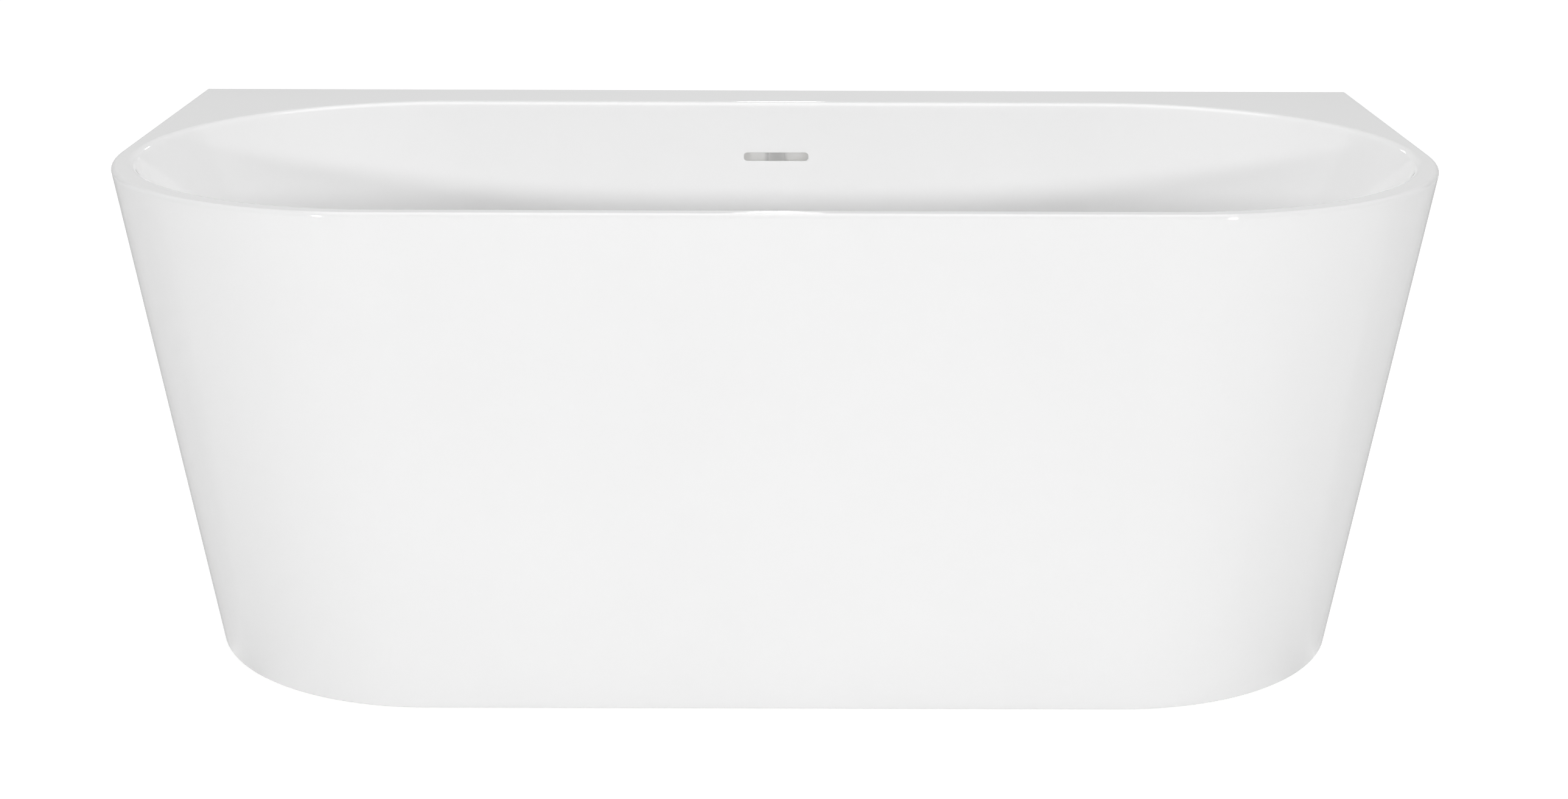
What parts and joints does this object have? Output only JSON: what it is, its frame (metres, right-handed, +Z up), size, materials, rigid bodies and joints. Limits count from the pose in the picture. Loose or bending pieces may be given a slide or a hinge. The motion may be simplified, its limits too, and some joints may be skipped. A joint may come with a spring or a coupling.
{
  "type": "freestanding bathtub",
  "caption": "Back-to-wall freestanding bathtub: round-ended bowl with a thin rim and back deck, tapered D-shaped skirt, slot overflow, press-to-close waste and levelling feet.",
  "frame": {"origin": "on the floor, under the middle of the bath's overall box", "axes": "+X along the bath to the right as seen from the front, +Y towards the wall, +Z up"},
  "size_m": [1.5, 0.75, 0.58],
  "materials": {
    "white_acrylic": "glossy moulded sanitary acrylic, glass-fibre backed on its hidden side",
    "board": "plain particle board",
    "timber": "planed softwood",
    "galvanised_steel": "hot-dip galvanised sheet and tube",
    "zinc_fasteners": "bright zinc plate",
    "black_plastic": "matt moulded plastic",
    "chrome": "polished chrome plate",
    "brass": "turned brass",
    "rubber": "soft black rubber",
    "white_plastic": "satin moulded polypropylene",
    "grey_plastic": "satin moulded polypropylene"
  },
  "bodies": {
    "bath": {"basin": "white_acrylic", "skirt": "white_acrylic", "base_board": "board", "deck_batten": "timber", "bearer_left": "galvanised_steel", "bearer_right": "galvanised_steel", "rear_upright_left": "galvanised_steel", "rear_upright_right": "galvanised_steel", "front_bracket_left": "galvanised_steel", "front_bracket_right": "galvanised_steel", "rear_bracket_left": "galvanised_steel", "rear_bracket_right": "galvanised_steel", "rear_rail": "galvanised_steel", "board_screws": "zinc_fasteners", "bracket_bolts": "zinc_fasteners", "bracket_nuts": "zinc_fasteners", "bracket_screws": "zinc_fasteners", "rail_bolts": "zinc_fasteners", "upright_screws": "zinc_fasteners", "lock_nuts": "zinc_fasteners", "weld_nuts": "zinc_fasteners", "rail_end_caps": "black_plastic", "drain_flange": "chrome", "click_cartridge": "brass", "drain_seal": "rubber", "waste_gasket": "rubber", "overflow_gasket": "rubber", "trap_washer": "rubber", "waste_body": "white_plastic", "overflow_housing": "white_plastic", "overflow_pipe": "white_plastic", "trap_body": "white_plastic", "overflow_top_nut": "grey_plastic", "overflow_bottom_nut": "grey_plastic", "trap_nut": "grey_plastic"},
    "plug": {"plug_cap": "chrome", "plug_stem": "brass", "plug_seal": "rubber"},
    "foot_front_left": {"foot_pad_front_left": "black_plastic"},
    "stud_front_left": {"foot_stud_front_left": "zinc_fasteners"},
    "foot_front_right": {"foot_pad_front_right": "black_plastic"},
    "stud_front_right": {"foot_stud_front_right": "zinc_fasteners"},
    "foot_rear_left": {"foot_pad_rear_left": "black_plastic"},
    "stud_rear_left": {"foot_stud_rear_left": "zinc_fasteners"},
    "foot_rear_right": {"foot_pad_rear_right": "black_plastic"},
    "stud_rear_right": {"foot_stud_rear_right": "zinc_fasteners"}
  },
  "joints": [
    {"name": "plug_lift", "type": "slide", "parent": "bath", "child": "plug", "axis": [0, 0, 1], "range_m": [0, 0.01]},
    {"name": "foot_travel_front_left", "type": "slide", "parent": "bath", "child": "foot_front_left", "axis": [0, 0, -1], "range_m": [-0.002, 0.015]},
    {"name": "stud_turn_front_left", "type": "hinge", "parent": "foot_front_left", "child": "stud_front_left", "pos_m": [-0.35136, -0.21859, 0], "axis": [0, 0, -1], "range_deg": [-480, 3600]},
    {"name": "foot_travel_front_right", "type": "slide", "parent": "bath", "child": "foot_front_right", "axis": [0, 0, -1], "range_m": [-0.002, 0.015]},
    {"name": "stud_turn_front_right", "type": "hinge", "parent": "foot_front_right", "child": "stud_front_right", "pos_m": [0.35136, -0.21859, 0], "axis": [0, 0, -1], "range_deg": [-480, 3600]},
    {"name": "foot_travel_rear_left", "type": "slide", "parent": "bath", "child": "foot_rear_left", "axis": [0, 0, -1], "range_m": [-0.002, 0.015]},
    {"name": "stud_turn_rear_left", "type": "hinge", "parent": "foot_rear_left", "child": "stud_rear_left", "pos_m": [-0.35136, 0.25, 0], "axis": [0, 0, -1], "range_deg": [-480, 3600]},
    {"name": "foot_travel_rear_right", "type": "slide", "parent": "bath", "child": "foot_rear_right", "axis": [0, 0, -1], "range_m": [-0.002, 0.015]},
    {"name": "stud_turn_rear_right", "type": "hinge", "parent": "foot_rear_right", "child": "stud_rear_right", "pos_m": [0.35136, 0.25, 0], "axis": [0, 0, -1], "range_deg": [-480, 3600]}
  ],
  "couplings": [
    {"joint": "stud_turn_front_left", "follows": "foot_travel_front_left", "rad_per_m": 4188.8},
    {"joint": "stud_turn_front_right", "follows": "foot_travel_front_right", "rad_per_m": 4188.8},
    {"joint": "stud_turn_rear_left", "follows": "foot_travel_rear_left", "rad_per_m": 4188.8},
    {"joint": "stud_turn_rear_right", "follows": "foot_travel_rear_right", "rad_per_m": 4188.8}
  ]
}
